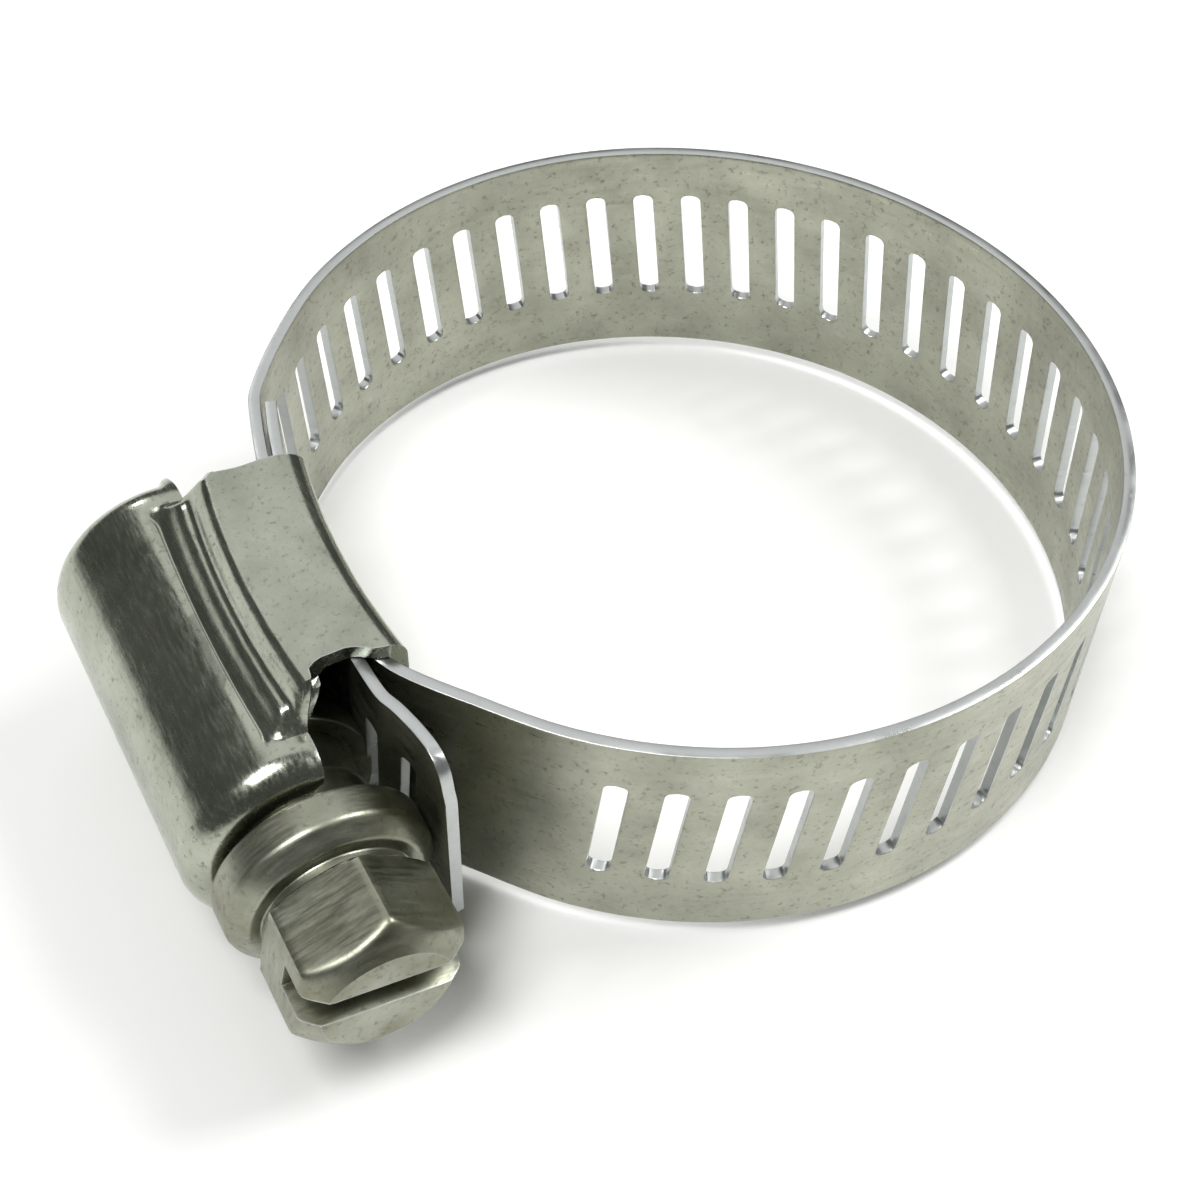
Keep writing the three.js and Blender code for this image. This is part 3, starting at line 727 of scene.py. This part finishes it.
strip = add_node(
    band_tree, "GeometryNodeSetMaterial", {"Geometry": strip, "Material": size["Material"]}
).outputs[0]
band_tree.links.new(strip, out.inputs[0])


def strip_cell(name, before, after, slot_before, slot_after, nose=None):
    """A flat stretch of the strip about X 0: from before to after it along X, with half a slot at either end.
    nose gives the share of the full width at a distance along X."""
    half_long, half_wide = SLOT_LONG / 2, BAND_SLOT_WIDE / 2
    turn = np.radians([90, 65, 40, 20])
    straight = half_long - SLOT_CORNER
    slot_rows = [straight + SLOT_CORNER * math.sin(t) for t in turn] + [straight, 1.8, 0]
    low, high = -BAND_WIDE / 2 - SLOT_UPWARDS, BAND_WIDE / 2 - SLOT_UPWARDS
    rows = [low, low + 0.25, low + 1.2, low + 2.5, *[-r for r in slot_rows], *slot_rows[::-1][1:]]
    rows += [high - 1.6, high - 0.25, high]

    def draw(row):
        """How far the slot's side lies from the slot's middle at a height."""
        past = abs(row) - straight
        past = min(max(past, 0), SLOT_CORNER)
        return half_wide - SLOT_CORNER + math.sqrt(max(SLOT_CORNER**2 - past**2, 0))

    web = max(6, int((before + after) / 0.33))
    side = 1
    grid = []
    for row in rows:
        left = -before + (draw(row) if slot_before else 0)
        right = after - (draw(row) if slot_after else 0)
        xs = [*np.linspace(-before, left, side + 1)[:-1]] if slot_before else []
        xs += [*np.linspace(left, right, web + 1)]
        xs += [*np.linspace(right, after, side + 1)[1:]] if slot_after else []
        grid.append(xs)
    wide = len(grid[0])
    first_web, last_web = (side if slot_before else 0), wide - 1 - (side if slot_after else 0)
    points = []
    for outside in (0.5, -0.5):
        for row, xs in zip(rows, grid):
            for x in xs:
                share = 1.0 if nose is None else nose(x)
                lean = SLOT_SLANT * row * (1 if nose is None else smooth(share, 0.66, 1.0))
                points.append((x + lean, outside * BAND_THICK, (row + SLOT_UPWARDS) * share))
    count = len(rows) * wide
    solid = {
        (r, c)
        for r in range(len(rows) - 1)
        for c in range(wide - 1)
        if first_web <= c < last_web or abs(rows[r] + rows[r + 1]) / 2 > half_long
    }
    faces = []
    for r, c in sorted(solid):
        a, b, d, e = r * wide + c, r * wide + c + 1, (r + 1) * wide + c + 1, (r + 1) * wide + c
        faces += [(a, b, d, e), (a + count, e + count, d + count, b + count)]
        for p, q, beside, end in (
            (a, b, (r - 1, c), False), (d, e, (r + 1, c), False),
            (e, a, (r, c - 1), c == 0), (b, d, (r, c + 1), c == wide - 2),
        ):
            if beside not in solid and not end:
                faces.append((q, p, p + count, q + count))
    return new_object(name, mesh_from(name, points, faces))


def close_ends(mesh):
    """Caps a stretch of the strip where the next one starts."""
    work = bmesh.new()
    work.from_mesh(mesh)
    bmesh.ops.holes_fill(work, edges=[e for e in work.edges if e.is_boundary], sides=0)
    work.to_mesh(mesh)
    work.free()


CUT_BRIGHTNESS = 0.7


def mark_cut_walls(mesh):
    """Marks the strip's cut edges and its slots' walls, which face along the strip or across it."""
    normals, centres = np.empty(len(mesh.polygons) * 3), np.empty(len(mesh.polygons) * 3)
    mesh.polygons.foreach_get("normal", normals)
    mesh.polygons.foreach_get("center", centres)
    normals, centres = normals.reshape(-1, 3)[:, :2], centres.reshape(-1, 3)[:, :2] / MM
    along = np.gradient(line, axis=0)
    along /= np.linalg.norm(along, axis=1)[:, None]
    nearest = np.array([np.argmin(((line - c) ** 2).sum(axis=1)) for c in centres])
    facing = np.abs(normals[:, 0] * along[nearest, 1] - normals[:, 1] * along[nearest, 0])
    walls = mesh.attributes.new("cut_wall", "FLOAT", "FACE")
    walls.data.foreach_set("value", np.where(facing < 0.6, CUT_BRIGHTNESS, 0.0))


def band_stretch(name, cells):
    """A stretch of the band from its cells: (what strip_cell made, how many, distance of the first)."""
    parts = []
    for cell, count, first in cells:
        bend = cell.modifiers.new("bent", "NODES")
        bend.node_group = band_tree
        inputs_by_name(
            band_tree, bend,
            Count=count, Pitch=PITCH * MM, First=first * MM, Route=band_route, Material=rolled_stainless,
        )
        evaluated = cell.evaluated_get(bpy.context.evaluated_depsgraph_get())
        parts.append(bpy.data.meshes.new_from_object(evaluated))
        bpy.data.objects.remove(cell)
    work = bmesh.new()
    for part in parts:
        work.from_mesh(part)
    whole = bpy.data.meshes.new(name)
    work.to_mesh(whole)
    work.free()
    piece = new_object("open_" + name, joined(whole, 0.002))
    round_edges(piece, 0.05, 2, 60)
    piece = finished(piece, name, rolled_stainless)
    close_ends(piece.data)
    joined(piece.data, 0.0005)
    mark_cut_walls(piece.data)
    return piece


# Cold-rolled strip: an even satin with faint lines along its length, and bright sheared edges.
rolled_stainless = stainless(
    "rolled_stainless", "b0b1a2", "97988a", 0.33, (0.1, 0.1, 1), 0.3, 0.2, cut_walls="cut_wall"
)

HALF = PITCH / 2
LINKS, SLOTS_PER_LINK = 13, 3
FIRST_MIDDLE = 26.46  # of the first link, which is mostly plain; the others' middles are at a slot
middles = [FIRST_MIDDLE] + [FIRST_SLOT + SLOTS_PER_LINK * i * PITCH for i in range(1, LINKS)]
held_long = middles[0] - TONGUE_ROOT
held = band_stretch("band_held", [(strip_cell("held", 0, held_long, False, False), 1, TONGUE_ROOT)])
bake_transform(held)
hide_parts("band_fixed_end")
tongue = band_stretch("band_tongue_strip", [(strip_cell("tongue", 0.0, TONGUE_ROOT, False, False), 1, 0.0)])
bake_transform(tongue)
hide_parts("band_tongue")
first = band_stretch(
    "band_arc_01",
    [(strip_cell("plain", 0, FIRST_SLOT - middles[0], False, True), 1, middles[0]),
     (strip_cell("web", HALF, HALF, True, True), SLOTS_PER_LINK, FIRST_SLOT + HALF)],
)
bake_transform(first)
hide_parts("band_link_01")
for i in range(2, LINKS):
    webs = (strip_cell("web", HALF, HALF, True, True), SLOTS_PER_LINK, middles[i - 1] + HALF)
    arc = band_stretch(f"band_arc_{i:02d}", [webs])
    a, b = f"band_link_{i:02d}", f"band_link_{i + 1:02d}"
    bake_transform(arc)
    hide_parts(a)
last_slot = FIRST_SLOT + (RING_SLOTS - 1) * PITCH
last = band_stretch("band_arc_13", [(strip_cell("web", HALF, HALF, True, True), 1, middles[-1] + HALF)])
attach(last, "band_link_13")
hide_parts("band_link_13")

NOSE_START, NOSE_LONG, NOSE_SHARE = 1.3, 2.45, 0.66
tail = band_stretch(
    "band_tail_strip",
    [(strip_cell("web", HALF, HALF, True, True), TAIL_SLOTS, last_slot + HALF),
     (strip_cell("nose", 0, NOSE_START + NOSE_LONG, True, False,
                 lambda x: 1 - (1 - NOSE_SHARE) * min(max((x - NOSE_START) / NOSE_LONG, 0), 1) ** 2.2),
      1, last_slot + TAIL_SLOTS * PITCH)],
)
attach(tail, "band_tail")
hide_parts("band_tail")
bpy.data.objects.remove(band_route)
